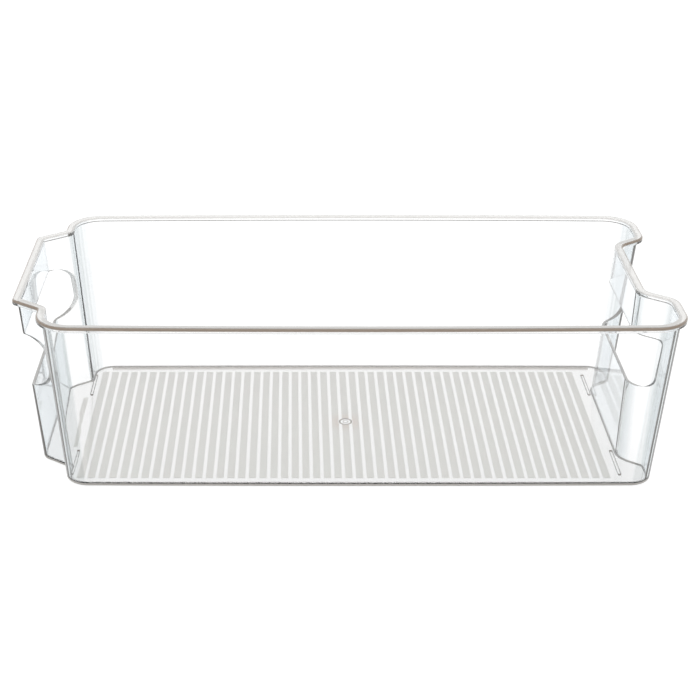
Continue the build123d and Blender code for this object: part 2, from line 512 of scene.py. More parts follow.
@dataclass(frozen=True)
class HandHole:
    """A hand hole with rounded corners, as seen along X."""

    end: End
    width: float
    bottom: float
    top: float
    bottom_round: float
    top_round: float
    edge_round: float = 0.35 * MM
    edge_blur: float = 0.55
    corner_steps: int = 14
    edge_steps: int = 4

    @property
    def middle(self) -> float:
        """Height of its middle."""
        return (self.bottom + self.top) / 2

    def loop(self) -> tuple[np.ndarray, np.ndarray]:
        """The hole's outline.

        Returns:
            Points in Y and Z, and the directions that lead away from the hole.
        """
        points, away = [], []
        low, high, half = self.bottom, self.top, self.width / 2
        corners = (
            (half, low, self.bottom_round, -90),
            (half, high, self.top_round, 0),
            (-half, high, self.top_round, 90),
            (-half, low, self.bottom_round, 180),
        )
        for y, z, radius, first in corners:
            centre = np.array([
                y - radius * np.sign(y),
                z + radius * (1 if z == low else -1),
            ])
            for angle in np.radians(np.linspace(first, first + 90, self.corner_steps + 1)):
                spoke = np.array([cos(angle), sin(angle)])
                points.append(centre + radius * spoke)
                away.append(spoke)
        return self._divided(np.array(points), np.array(away))

    @staticmethod
    def _divided(
        points: np.ndarray, away: np.ndarray, longest: float = 0.8 * MM
    ) -> tuple[np.ndarray, np.ndarray]:
        """The same loop with its straight runs divided into short ones."""
        new_points, new_away = [], []
        for i in range(len(points)):
            start, end = points[i], points[(i + 1) % len(points)]
            parts = max(1, int(np.ceil(np.linalg.norm(end - start) / longest)))
            for k in range(parts):
                t = k / parts
                new_points.append(start * (1 - t) + end * t)
                mixed = away[i] * (1 - t) + away[(i + 1) % len(points)] * t
                new_away.append(mixed / np.linalg.norm(mixed))
        return np.array(new_points), np.array(new_away)


class EndSheet:
    """The outer or inner skin of one end, as a surface over Y and Z."""

    def __init__(self, outline: Outline, end: End, depth: float, facing: float, low: float) -> None:
        """Reads the columns of the outline that face this end, from a height up to the rim."""
        self.columns = outline.zone(end)
        self.low, self.high = low, outline.sizes.rim_bottom
        rings = [outline.wall_ring(z, depth, facing) for z in (self.low, self.high)]
        self.points = np.array([r.points[self.columns] for r in rings])
        self.normals = np.array([r.normals[self.columns] for r in rings])
        self.bend = rings[0].bend[self.columns]

    def lift(self, flat: np.ndarray) -> Ring:
        """Places flat points on the sheet.

        Args:
            flat: Y and Z of each point.

        Returns:
            The points in space with their unit normals.
        """
        share = (flat[:, 1] - self.low) / (self.high - self.low)
        points, normals, bend = [], [], []
        for (y, z), t in zip(flat, share):
            column = self.points[0] * (1 - t) + self.points[1] * t
            turned = self.normals[0] * (1 - t) + self.normals[1] * t
            points.append((np.interp(y, column[:, 1], column[:, 0]), y, z))
            normals.append([np.interp(y, column[:, 1], turned[:, i]) for i in range(3)])
            bend.append(np.interp(y, column[:, 1], self.bend))
        normals = np.array(normals)
        return Ring(np.array(points), normals / np.linalg.norm(normals, axis=1)[:, None], np.array(bend))

    def add_to(
        self, skin: Skin, rim: np.ndarray, clearance: float = 0.5 * MM, samples: int = 400
    ) -> None:
        """Adds the sheet with a hole in it.

        Args:
            skin: Takes the faces.
            rim: The hole's edge in Y and Z.
            clearance: How near the columns' edges come to the hole.
            samples: Points on a column at which the hole is looked for.
        """
        count = len(self.columns)
        flat = [p for row in self.points for p in row[:, 1:]]
        edges = [(i, i + 1) for i in range(count - 1)]
        edges += [(count + i, count + i + 1) for i in range(count - 1)]
        middle = rim.mean(0)
        swollen = rim + (rim - middle) / np.linalg.norm(rim - middle, axis=1)[:, None] * clearance
        for i in range(count):
            low, high = flat[i], flat[count + i]
            steps = np.linspace(0, 1, samples)[:, None]
            along = low * (1 - steps) + high * steps
            hit = np.flatnonzero(inside(along, swollen))
            if len(hit) == 0:
                edges.append((i, count + i))
                continue
            flat += [along[hit[0] - 1], along[hit[-1] + 1]]
            edges += [(i, len(flat) - 2), (len(flat) - 1, count + i)]
        start = len(flat)
        flat = np.array(flat + list(rim))
        edges += loop_edges(start, len(rim))
        made, faces = triangulate(flat, edges, lambda middles: ~inside(middles, rim))
        skin.add(self.lift(made), faces)


def add_hole_wall(skin: Skin, hole: HandHole, outer: EndSheet, inner: EndSheet, wall: float) -> None:
    """Adds the wall of a hand hole through the plastic, with its edges rounded.

    Args:
        skin: Takes the faces.
        hole: The hole's outline and rounding.
        outer: The skin that faces out.
        inner: The skin that faces in.
        wall: Thickness of the plastic.
    """
    loop, away = hole.loop()
    quarter = np.radians(np.linspace(0, 90, hole.edge_steps + 1))
    steps = [(hole.edge_round * (1 - sin(a)), hole.edge_round * (1 - cos(a)), a, True) for a in quarter]
    steps += [
        (hole.edge_round * (1 - sin(a)), wall - hole.edge_round * (1 - cos(a)), a, False)
        for a in quarter[::-1]
    ]
    rings = []
    for offset, depth, angle, on_outer in steps:
        flat = loop + away * offset
        out, within = outer.lift(flat), inner.lift(flat)
        share = depth / wall
        points = out.points * (1 - share) + within.points * share
        skin_normals = out.normals if on_outer else within.normals
        hole_normals = np.column_stack([np.zeros(len(away)), -away])
        normals = skin_normals * cos(angle) + hole_normals * sin(angle)
        blur = hole.edge_blur * sin(angle)
        rings.append(Ring(points, normals / np.linalg.norm(normals, axis=1)[:, None], 0.0, 0.0, blur))
    skin.add_rings(rings)


@dataclass(frozen=True)
class Region:
    """A box that holds one named region of the moulding, open where a limit is left out."""

    name: str
    x: tuple[float, float] = (-1.0, 1.0)
    y: tuple[float, float] = (-1.0, 1.0)
    z: tuple[float, float] = (-1.0, 1.0)

    def holds(self, point: Vector) -> bool:
        """Whether a point lies in the region."""
        return all(low <= c <= high for c, (low, high) in zip(point, (self.x, self.y, self.z)))


def mirrored(region: Region) -> list[Region]:
    """The region on the back of the bin and its twin on the front."""
    low, high = region.y
    names = region.name.replace("SIDE", "back"), region.name.replace("SIDE", "front")
    return [
        Region(names[0], region.x, (low, high), region.z),
        Region(names[1], region.x, (-high, -low), region.z),
    ]


@dataclass(frozen=True)
class Plane:
    """A plane at right angles to one axis, where one region ends and the next begins."""

    axis: int
    place: float

    @property
    def normal(self) -> Vector:
        """The direction of its axis."""
        return Vector([float(i == self.axis) for i in range(3)])

    def split(self, mesh: bmesh.types.BMesh) -> None:
        """Cuts the faces that cross the plane."""
        everything = mesh.verts[:] + mesh.edges[:] + mesh.faces[:]
        bmesh.ops.bisect_plane(
            mesh, geom=everything, dist=ON_PLANE, plane_co=self.normal * self.place, plane_no=self.normal)

    def holds(self, vertex: bmesh.types.BMVert) -> bool:
        """Whether a corner lies in the plane."""
        return abs(vertex.co[self.axis] - self.place) < 2 * ON_PLANE


def close(mesh: bmesh.types.BMesh, planes: Sequence[Plane]) -> None:
    """Closes a skin where the next region joins it, with faces of the piece's second material.

    Args:
        mesh: A skin whose open edges all lie in the planes.
        planes: The planes, upright ones first.
    """
    left = [e for e in mesh.edges if len(e.link_faces) == 1]
    groups, ends = [], []
    for plane in planes:
        group = [e for e in left if all(plane.holds(v) for v in e.verts)]
        left = [e for e in left if e not in set(group)]
        degree = Counter(v for e in group for v in e.verts)
        groups.append(group)
        ends.append({v for v, count in degree.items() if count % 2})
    for (i, one), (j, other) in combinations(enumerate(planes), 2):
        if one.axis == other.axis:
            continue
        along = 3 - one.axis - other.axis
        shared = sorted(ends[i] & ends[j], key=lambda v: v.co[along])
        for pair in zip(shared[::2], shared[1::2]):
            edge = mesh.edges.get(pair) or mesh.edges.new(pair)
            groups[i].append(edge)
            groups[j].append(edge)
    for group, plane in zip(groups, planes):
        if group:
            filled = bmesh.ops.triangle_fill(mesh, use_beauty=False, edges=group, normal=plane.normal)
            for face in filled["geom"]:
                if isinstance(face, bmesh.types.BMFace):
                    face.material_index = CLOSING
    bmesh.ops.recalc_face_normals(mesh, faces=mesh.faces)


def to_object(name: str, mesh: bmesh.types.BMesh) -> bpy.types.Object:
    """Turns a mesh into an object at the origin, with its smooth normals set.

    Args:
        name: Name of the object.
        mesh: A mesh with the vertex layer "smooth". It is freed.

    Returns:
        The object, linked to the scene.
    """
    mesh.verts.index_update()
    layer = mesh.verts.layers.float_vector["smooth"]
    smooth = [v[layer].copy() for v in mesh.verts]
    mesh.verts.layers.float_vector.remove(layer)
    data = bpy.data.meshes.new(name)
    mesh.to_mesh(data)
    mesh.free()
    data.polygons.foreach_set("use_smooth", [True] * len(data.polygons))
    loops = []
    for polygon in data.polygons:
        for corner in polygon.vertices:
            flat = polygon.material_index == CLOSING or smooth[corner].length < 0.5
            loops.append(polygon.normal.copy() if flat else smooth[corner].normalized())
    data.normals_split_custom_set(loops)
    made = bpy.data.objects.new(name, data)
    bpy.context.scene.collection.objects.link(made)
    return made


def share_out(
    mesh: bmesh.types.BMesh,
    cuts: Sequence[Plane],
    levels: Sequence[Plane],
    regions: Sequence[Region],
) -> list[bpy.types.Object]:
    """Cuts a skin at the given planes and makes one closed object for each region.

    Args:
        mesh: The whole skin. It is freed.
        cuts: Upright planes where it is cut.
        levels: Level planes where it is open from the start.
        regions: The named boxes, of which the first that holds a face takes it.

    Returns:
        One object for each region.
    """
    for plane in cuts:
        plane.split(mesh)
    owner = mesh.faces.layers.int.new("owner")
    for face in mesh.faces:
        middle = face.calc_center_median()
        face[owner] = next(i for i, region in enumerate(regions) if region.holds(middle))
    made = []
    for index, region in enumerate(regions):
        part = mesh.copy()
        layer = part.faces.layers.int["owner"]
        others = [f for f in part.faces if f[layer] != index]
        bmesh.ops.delete(part, geom=others, context="FACES")
        part.faces.layers.int.remove(part.faces.layers.int["owner"])
        close(part, [*cuts, *levels])
        made.append(to_object(f"{region.name}_skin", part))
    mesh.free()
    return made


@dataclass(kw_only=True)
class SubAssembly:
    """A part of the moulding that makes its own pieces and dresses them."""

    outline: Outline
    slot: Slot = Slot.CLEAR

    def build(self) -> list[bpy.types.Object]:
        """Makes the pieces, each named for its CAD node."""
        raise NotImplementedError

    def dress(
        self,
        pieces: Sequence[bpy.types.Object],
        finish: bpy.types.Material,
        closing: bpy.types.Material,
    ) -> None:
        """Gives the pieces their finish and lets each stand for its CAD node.

        Args:
            pieces: What build made.
            finish: Worn by the surface of the plastic.
            closing: Worn where the plastic runs on into the next piece.
        """
        for piece in pieces:
            piece.data.materials.append(finish)
            piece.data.materials.append(closing)
            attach(piece, "root")
            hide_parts(piece.name.removesuffix("_skin"))
            log.info("%s: %d faces, %s", piece.name, len(piece.data.polygons), self.slot.value)


@dataclass(kw_only=True)
class WallRing(SubAssembly):
    """The drafted wall all round, with a hand hole at each end."""

    foot_fillet: float = 1.0 * MM
    fillet_steps: int = 6
    fillet_blur: float = 0.35

    def holes(self) -> tuple[HandHole, HandHole]:
        """The hand holes of the grip and of the recess."""
        s = self.outline.sizes
        low = s.bin_height - s.hole_drop
        grip_width = s.grip_mouth - 2 * s.grip_hole_shoulder
        recess_width = s.recess_mouth + 2 * s.recess_hole_overlap
        grip_top = s.bin_height - s.grip_apron_height
        recess_top = s.bin_height - s.recess_apron_height
        return (
            HandHole(End.GRIP, grip_width, low, grip_top, *s.grip_hole_rounds),
            HandHole(End.RECESS, recess_width, low, recess_top, *s.recess_hole_rounds),
        )

    def skin(self) -> Skin:
        """The wall's outer and inner skin, with the small fillet at the foot of the inner one."""
        s = self.outline.sizes
        skin = Skin()
        fillet_top = s.floor_top + self.foot_fillet
        keep = np.ones(len(self.outline.corner_shades()), bool)
        for end in End:
            zone = self.outline.zone(end)
            keep[zone[:-1] if end is End.RECESS else zone[1:]] = False
        for depth, facing, low in ((0.0, 1.0, s.floor_top), (s.wall, -1.0, fillet_top)):
            skin.add_rings([self.outline.wall_ring(z, depth, facing) for z in (low, s.rim_bottom)], keep)
        fillet = [self.outline.wall_ring(fillet_top, s.wall, -1.0)]
        for angle in np.linspace(0, 90, self.fillet_steps + 1)[1:]:
            turn = radians(angle)
            fillet.append(self.outline.turned_ring(
                s.floor_top + self.foot_fillet * (1 - sin(turn)),
                s.wall + self.foot_fillet * (1 - cos(turn)),
                180 - angle,
                blur=self.fillet_blur * sin(2 * turn),
            ))
        skin.add_rings(fillet)
        for hole in self.holes():
            outer = EndSheet(self.outline, hole.end, 0.0, 1.0, s.floor_top)
            inner = EndSheet(self.outline, hole.end, s.wall, -1.0, fillet_top)
            loop, away = hole.loop()
            edge = loop + away * hole.edge_round
            outer.add_to(skin, edge)
            inner.add_to(skin, edge)
            add_hole_wall(skin, hole, outer, inner, s.wall)
        return skin

    def regions(self) -> tuple[list[Plane], list[Region]]:
        """Where the wall is divided, the same as in the CAD model."""
        s, past = self.outline.sizes, self.outline.past_corner
        left, right = self.outline.long_cuts()
        joint, mouth = past("joint", s.rim_bottom, s.wall)[1], past("mouth", s.underside, 0.0)[1]
        grip = past("grip", s.underside, 0.0)[0]
        grip_hole, recess_hole = self.holes()
        low_cut = past("recess", recess_hole.bottom, s.wall)[0]
        high_cut = past("recess", s.rim_bottom, s.wall)[0]
        recess_x = s.body_middle + s.body_length / 2 - 2 * s.recess_depth
        cuts = [Plane(0, left), Plane(0, right)]
        cuts += [Plane(1, sign * y) for y in (joint, mouth, grip, low_cut, high_cut) for sign in (1, -1)]
        regions = [
            Region("grip_lower_panel", (-1, left), (-grip, grip), (-1, grip_hole.middle)),
            Region("grip_apron", (-1, left), (-grip, grip), (grip_hole.middle, 1)),
            Region("recess_lower_panel", (recess_x, 1), (-low_cut, low_cut), (-1, recess_hole.middle)),
            Region("recess_apron", (recess_x, 1), (-high_cut, high_cut), (recess_hole.middle, 1)),
        ]
        regions += mirrored(Region("grip_cheek_SIDE", (-1, left), (grip, joint)))
        regions += mirrored(Region("recess_cheek_SIDE", (recess_x, 1), (min(low_cut, high_cut), mouth)))
        regions += mirrored(Region("corner_SIDE_left", (-1, left), (joint, 1)))
        regions += mirrored(Region("corner_SIDE_right", (right, 1), (mouth, 1)))
        regions += mirrored(Region("SIDE_wall", (left, right), (mouth, 1)))
        return cuts, regions

    def build(self) -> list[bpy.types.Object]:
        """Makes the wall's regions."""
        s = self.outline.sizes
        cuts, regions = self.regions()
        mesh = self.skin().solid()
        for hole in self.holes():
            Plane(2, hole.middle).split(mesh)
        return share_out(mesh, cuts, [Plane(2, s.rim_bottom), Plane(2, s.floor_top)], regions)


@dataclass(kw_only=True)
class Rim(SubAssembly):
    """The flange round the top, rounded along its edges.

    A warm grey painted shade on the outer rounding stands for the dark surroundings that it gathers.
    """

    outer_round: float = 1.1 * MM
    inner_round: float = 0.6 * MM
    under_round: float = 0.4 * MM
    shade_below: float = 0.8 * MM
    shade_inside: float = 0.35 * MM
    inner_blur: float = 0.75
    blur_reach: float = 0.5 * MM
    shaded_angles: tuple[float, ...] = (0.0, 20.0, 60.0, 90.0)
    angle_shades: tuple[float, ...] = (1.0, 1.0, 0.9, 0.45)
    steps: int = 6

    def skin(self) -> Skin:
        """The rim's skin, from the outer face of the wall over the top to its inner face."""
        s, turned = self.outline.sizes, self.outline.turned_ring
        low, top, lip = s.rim_bottom, s.bin_height, s.rim_lip
        quarter = np.linspace(0, 90, self.steps + 1)
        rings = [turned(low, 0.0, -90)]
        for angle in quarter:
            rise, run = 1 - cos(radians(angle)), sin(radians(angle)) - 1
            rings.append(turned(
                low + self.under_round * rise, -lip - self.under_round * run, angle - 90))
        rings.append(turned(top - self.outer_round - self.shade_below, -lip, 0))
        for angle in quarter:
            rise, run = sin(radians(angle)) - 1, 1 - cos(radians(angle))
            # Painted warm grey shade on the outer rounding, fading as it turns up.
            shade = np.interp(angle, self.shaded_angles, self.angle_shades)
            rings.append(turned(
                top + self.outer_round * rise, self.outer_round * run - lip, angle, shade))
        rings.append(turned(top, self.outer_round + self.shade_inside - lip, 90, blur=self.inner_blur))
        for angle in quarter:
            rise, run = cos(radians(angle)) - 1, sin(radians(angle)) - 1
            rings.append(turned(
                top + self.inner_round * rise, s.wall + self.inner_round * run, 90 + angle,
                blur=self.inner_blur))
        rings.append(turned(top - self.inner_round - self.blur_reach, s.wall, 180))
        rings.append(turned(low, s.wall, 180))
        skin = Skin()
        skin.add_rings(rings)
        return skin

    def regions(self) -> tuple[list[Plane], list[Region]]:
        """Where the rim is divided, the same as in the CAD model."""
        s, past = self.outline.sizes, self.outline.past_corner
        left, right = self.outline.long_cuts()
        joint, mouth = past("joint", s.rim_bottom, s.wall)[1], past("mouth", s.underside, 0.0)[1]
        cuts = [Plane(0, left), Plane(0, right)]
        cuts += [Plane(1, sign * y) for y in (joint, mouth) for sign in (1, -1)]
        regions = [
            Region("rim_grip", (-1, left), (-joint, joint)),
            Region("rim_recess", (s.body_middle, 1), (-mouth, mouth)),
        ]
        regions += mirrored(Region("rim_corner_SIDE_left", (-1, left), (joint, 1)))
        regions += mirrored(Region("rim_corner_SIDE_right", (right, 1), (mouth, 1)))
        regions += mirrored(Region("rim_SIDE", (left, right), (mouth, 1)))
        return cuts, regions

    def build(self) -> list[bpy.types.Object]:
        """Makes the rim's regions."""
        cuts, regions = self.regions()
        return share_out(self.skin().solid(), cuts, [Plane(2, self.outline.sizes.rim_bottom)], regions)


@dataclass(frozen=True)
class Loop:
    """A closed flat outline in X and Y, with the directions that lead away from its inside."""

    points: np.ndarray
    away: np.ndarray

    def grown(self, by: float) -> np.ndarray:
        """The outline's points, moved outward."""
        return self.points + self.away * by


def slot_loop(
    middle: tuple[float, float], length: float, width: float, reach: float = 1.0 * MM, steps: int = 12,
) -> Loop:
    """The outline of a ridge with round ends that runs along Y.

    Args:
        middle: Where its middle is, in plan.
        length: Its whole length.
        width: Its width.
        reach: How far from its round ends the straight sides have their last points.
        steps: Steps round each end.
    """
    half, radius = (length - width) / 2, width / 2
    points, away = [], []
    for way in (1, -1):
        angles = np.radians(np.linspace(0, 180, steps + 1)) + (0 if way > 0 else pi)
        spokes = [np.array([cos(angle), sin(angle)]) for angle in angles]
        back = np.array([0.0, way * reach])
        middle_of_end = np.array(middle) + (0, way * half)
        ends = [middle_of_end + radius * spoke for spoke in spokes]
        points += [ends[0] - back, *ends, ends[-1] - back]
        away += [spokes[0], *spokes, spokes[-1]]
    return Loop(np.array(points), np.array(away))


def round_loop(middle: tuple[float, float], radius: float, steps: int = 48) -> Loop:
    """The outline of a disc."""
    angles = np.arange(steps) * 2 * pi / steps
    spokes = np.stack([np.cos(angles), np.sin(angles)], 1)
    return Loop(np.array(middle) + radius * spokes, spokes)


def add_flat(
    skin: Skin,
    z: float,
    facing: float,
    outer: np.ndarray,
    holes: Sequence[np.ndarray] = (),
    creases: Sequence[np.ndarray] = (),
) -> None:
    """Adds a level face.

    Args:
        skin: Takes the faces.
        z: Height of the face.
        facing: 1 for up, -1 for down.
        outer: The outline of the face.
        holes: Outlines of its holes.
        creases: Open lines that its triangles keep to.
    """
    edges: list[tuple[int, int]] = []
    start = 0
    for loop in (outer, *holes):
        edges += loop_edges(start, len(loop))
        start += len(loop)
    for line in creases:
        edges += loop_edges(start, len(line))[:-1]
        start += len(line)

    def keep(middles: np.ndarray) -> np.ndarray:
        """Whether triangles lie in the face, judged by their middles."""
        kept = inside(middles, outer)
        for hole in holes:
            low, high = hole.min(0), hole.max(0)
            near = ((middles > low) & (middles < high)).all(1)
            kept[near] &= ~inside(middles[near], hole)
        return kept

    made, faces = triangulate(np.concatenate([outer, *holes, *creases]), edges, keep)
    points = np.column_stack([made, np.full(len(made), z)])
    skin.add(Ring(points, np.tile((0.0, 0.0, facing), (len(made), 1))), faces)


@dataclass(kw_only=True)
class Boss:
    """A low boss that hangs down from the floor, open where it joins the floor."""

    loop: Loop
    base: float
    tip: float
    edge_round: float
    shade: float = 0.0
    bands: tuple[tuple[float, float], ...] = ()
    steps: int = 5

    def add_to(self, skin: Skin) -> None:
        """Adds its side and rounded lower edge, both with painted shade, and its lower face,
        which bands shade.

        Each band is how far a ring on the lower face lies inside the rounding, and its painted shade.

        Args:
            skin: Takes the faces.
        """
        count, radius = len(self.loop.points), self.edge_round
        rows = [(self.base, 0.0, 0.0, self.shade)]
        rows += [
            (self.tip + radius * (1 - sin(a)), radius * (1 - cos(a)), a, self.shade)
            for a in np.radians(np.linspace(0, 90, self.steps + 1))
        ]
        rows += [(self.tip, radius + inset, pi / 2, shade) for inset, shade in self.bands]
        rings = []
        for z, inset, turn, shade in rows:
            points = np.column_stack([self.loop.grown(-inset), np.full(count, z)])
            normals = np.column_stack([self.loop.away * cos(turn), np.full(count, -sin(turn))])
            rings.append(Ring(points, normals, 0.0, shade))
        skin.add_rings(rings)
        add_flat(skin, self.tip, -1.0, self.loop.grown(-rows[-1][1]))


@dataclass(kw_only=True)
class Underside:
    """Places and outlines of what stands on the underside of the floor."""

    outline: Outline
    foot_length: float = 30.0 * MM
    foot_width: float = 2.0 * MM
    foot_shoulder: float = 39.3 * MM
    grip_foot_inset: float = 0.6 * MM
    recess_foot_inset: float = 1.8 * MM
    bar_pitch: float = 6.09 * MM
    bar_width: float = 4.1 * MM
    bar_end_margin: float = 3.5 * MM
    bar_side_margin: float = 6.5 * MM
    short_bar_width: float = 2.9 * MM
    short_bar_margin: float = 4.0 * MM
    short_bar_offset: float = 2.4 * MM
    gate_offset: float = 1.4 * MM
    gate_radius: float = 4.0 * MM
    gate_clearance: float = 0.5 * MM
    notch_points: int = 17

    def __post_init__(self) -> None:
        """Works out the places on the clear floor."""
        s = self.outline.sizes
        inner = self.outline.corners(s.underside, s.wall)
        self.field_left = inner["grip"][0] + s.grip_reach
        self.field_right = inner["recess"][0]
        self.gate_place = (self.field_left + self.field_right) / 2 + self.gate_offset
        margin = self.bar_end_margin + self.bar_width / 2
        self.bars_left = int((self.gate_place - self.field_left - margin) / self.bar_pitch)
        self.bars_right = int((self.field_right - self.gate_place - margin) / self.bar_pitch)
        self.bar_length = 2 * (inner["left"][1] - self.bar_side_margin)
        self.foot_offset = s.body_width / 2 - self.foot_shoulder
        self.room = self.gate_radius + self.gate_clearance

    def bar_places(self) -> list[float]:
        """X of the middle of each frosted bar."""
        numbers = range(-self.bars_left, self.bars_right + 1)
        return [self.gate_place + i * self.bar_pitch for i in numbers]

    def cut_bars(self) -> list[int]:
        """Numbers of the bars that the room round the gate mark cuts into, from the left."""
        return [
            i for i, x in enumerate(self.bar_places())
            if abs(x - self.gate_place) - self.bar_width / 2 < self.room
        ]

    def foot_loops(self) -> list[Loop]:
        """Outlines of the four feet."""
        return [
            slot_loop((x, y), self.foot_length, self.foot_width)
            for x in (self.field_left + self.grip_foot_inset, self.field_right - self.recess_foot_inset)
            for y in (-self.foot_offset, self.foot_offset)
        ]

    def gate_loop(self) -> Loop:
        """Outline of the gate mark."""
        return round_loop((self.gate_place, 0.0), self.gate_radius)

    def bar_loops(self, number: int) -> list[np.ndarray]:
        """Outlines of a frosted bar, anticlockwise: two where the gate mark parts it.

        Args:
            number: The bar's number from the left.

        Returns:
            The outlines, whose notches follow the room round the gate mark.
        """
        x, gate, room = self.bar_places()[number], self.gate_place, self.room
        half, reach = self.bar_width / 2, self.bar_length / 2
        square = np.array([(x + half, -reach), (x + half, reach), (x - half, reach), (x - half, -reach)])
        gaps = (x + half - gate, gate - x + half)
        if max(map(abs, gaps)) < room:
            turns = np.linspace(acos(-gaps[1] / room), acos(gaps[0] / room), self.notch_points)
            notch = [(gate + room * cos(a), room * sin(a)) for a in turns]
            upper = np.array([*square[1:3], *notch])
            return [upper, (upper * (1, -1))[::-1]]
        if min(map(abs, gaps)) < room:
            side = 1 if abs(gaps[0]) < room else -1
            swing = acos(min(map(abs, gaps)) / room)
            turns = np.linspace(-swing, swing, self.notch_points)
            notch = [(gate - side * room * cos(a), side * room * sin(a)) for a in turns]
            at = 1 if side > 0 else 3
            return [np.array([*square[:at], *notch, *square[at:]])]
        return [square]

    def short_bar_loop(self) -> np.ndarray:
        """Outline of the single bar between the feet on the grip's side."""
        x, half = self.field_left - self.short_bar_offset, self.short_bar_width / 2
        reach = self.foot_offset - self.foot_length / 2 - self.short_bar_margin
        return np.array([(x + half, -reach), (x + half, reach), (x - half, reach), (x - half, -reach)])


@dataclass(kw_only=True)
class FloorPlate(SubAssembly):
    """The floor, whose rounded lower edge carries a painted warm grey shade line near the shelf."""

    underside: Underside
    wall_foot: float
    edge_round: float = 1.0 * MM
    edge_shade: float = 0.3
    edge_blur: float = 0.95
    back_band: float = 5.0 * MM
    back_shade: float = 0.85
    full_shade_angle: float = 25.0
    facing_back: float = 0.98
    steps: int = 6

    def build(self) -> list[bpy.types.Object]:
        """Makes the plate."""
        s, under = self.outline.sizes, self.underside
        skin = Skin()
        rings = []
        for angle in np.linspace(0, 90, self.steps + 1):
            turn = radians(angle)
            # Painted warm grey shade and pale blur on the rounded edge, none where it faces straight
            # down.
            share = np.interp(angle, (0, self.full_shade_angle), (0, 1))
            rings.append(self.outline.turned_ring(
                s.underside + self.edge_round * (1 - cos(turn)),
                self.edge_round * (1 - sin(turn)),
                angle - 90,
                self.edge_shade * share,
                self.edge_blur * share,
            ))
        rings.append(self.outline.turned_ring(s.floor_top, 0.0, 0.0, self.edge_shade, self.edge_blur))
        skin.add_rings(rings)
        top, away = self.outline.plan(s.floor_top, s.wall + self.wall_foot)
        back = top[away[:, 1] > self.facing_back]
        add_flat(skin, s.floor_top, 1.0, top, creases=[back - (0.0, self.back_band)])
        holes = [loop.points for loop in under.foot_loops()]
        holes += [under.gate_loop().points, under.short_bar_loop()]
        holes += [loop for i in range(len(under.bar_places())) for loop in under.bar_loops(i)]
        add_flat(skin, s.underside, -1.0, self.outline.plan(s.underside, self.edge_round)[0], holes)
        mesh = skin.solid()
        # A painted shade band along the back of the upper face, fading out at the crease inside it.
        edge = mesh.verts.layers.float["edge"]
        upper, lower = Plane(2, s.floor_top), Plane(2, s.underside)
        near, far = back[:, 1].min() - ON_PLANE, back[:, 1].max() + ON_PLANE
        for vertex in mesh.verts:
            if upper.holds(vertex) and near < vertex.co.y < far:
                vertex[edge] = self.back_shade
        close(mesh, [upper, lower])
        return [to_object("floor_plate_skin", mesh)]


@dataclass(kw_only=True)
class Feet(SubAssembly):
    """Four low ridges with round ends, with a little painted shade on their sides and painted dark shade
    at their ends.
    """

    underside: Underside
    edge_round: float = 0.5 * MM
    side_shade: float = 0.15
    end_shade: float = 1.0
    end_reach: float = 1.4 * MM

    def build(self) -> list[bpy.types.Object]:
        """Makes the feet as one object."""
        skin, base = Skin(), self.outline.sizes.underside
        for loop in self.underside.foot_loops():
            Boss(
                loop=loop, base=base, tip=0.0, edge_round=self.edge_round, shade=self.side_shade,
            ).add_to(skin)
        mesh = skin.solid()
        # Painted dark shade on the round ends of each foot.
        edge = mesh.verts.layers.float["edge"]
        near, far = (self.underside.foot_offset + i * self.underside.foot_length / 2 for i in (-1, 1))
        for vertex in mesh.verts:
            if not near + self.end_reach < abs(vertex.co.y) < far - self.end_reach:
                vertex[edge] = self.end_shade
        close(mesh, [Plane(2, base)])
        return [to_object("feet_skin", mesh)]


@dataclass(kw_only=True)
class GateMark(SubAssembly):
    """The mark of the injection gate, a low disc with a painted dark outline and painted shade rings for
    its relief.
    """

    underside: Underside
    relief: float = 0.3 * MM
    edge_round: float = 0.25 * MM
    shade: float = 0.9
    bands: tuple[tuple[float, float], ...] = (
        (0.35 * MM, 0.9), (0.8 * MM, 0.0), (1.9 * MM, 0.0), (2.3 * MM, 0.7), (2.7 * MM, 0.0),
    )

    def build(self) -> list[bpy.types.Object]:
        """Makes the mark."""
        skin, base = Skin(), self.outline.sizes.underside
        Boss(
            loop=self.underside.gate_loop(), base=base, tip=base - self.relief,
            edge_round=self.edge_round, shade=self.shade, bands=self.bands,
        ).add_to(skin)
        mesh = skin.solid()
        close(mesh, [Plane(2, base)])
        return [to_object("gate_mark_skin", mesh)]


def add_node(
    tree: bpy.types.NodeTree, kind: str, inputs: Optional[dict] = None, **settings: object
) -> bpy.types.Node:
    """Adds a node to a tree.

    Args:
        tree: The tree.
        kind: The node's type.
        inputs: For each input, by name or number, its value or the output it is linked from.
        settings: The node's own settings.

    Returns:
        The node.
    """
    made = tree.nodes.new(kind)
    for name, value in settings.items():
        setattr(made, name, value)
    for key, value in (inputs or {}).items():
        if isinstance(value, bpy.types.NodeSocket):
            tree.links.new(value, made.inputs[key])
        else:
            made.inputs[key].default_value = value
    return made


